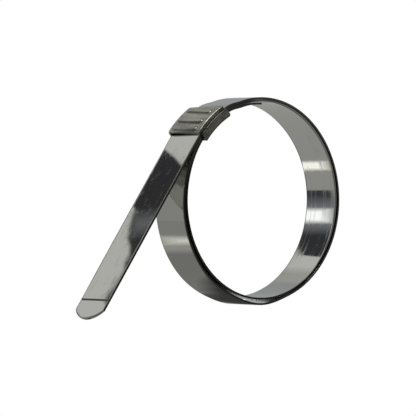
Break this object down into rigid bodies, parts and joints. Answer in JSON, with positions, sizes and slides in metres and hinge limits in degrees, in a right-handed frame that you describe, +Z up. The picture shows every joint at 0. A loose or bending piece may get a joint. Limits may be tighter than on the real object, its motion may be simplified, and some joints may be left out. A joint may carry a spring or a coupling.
{
  "type": "preformed band hose clamp",
  "caption": "Preformed band clamp: a stainless strip wrapped double into a ring, with a folded buckle that holds the wraps and a long free tail for pulling tight.",
  "frame": {"origin": "on the hose's axis, midway along the band's width", "axes": "+Y along the hose's axis, away from the buckle's seam side; +Z up from the floor that the ring and the tail's tip stand on; +X away from the tail"},
  "size_m": [0.1142, 0.018, 0.075],
  "materials": {
    "band": "bright rolled stainless strip",
    "buckle": "pressed stainless sheet, duller than the strip"
  },
  "bodies": {
    "root": {"band": "band", "buckle": "buckle"}
  },
  "joints": []
}
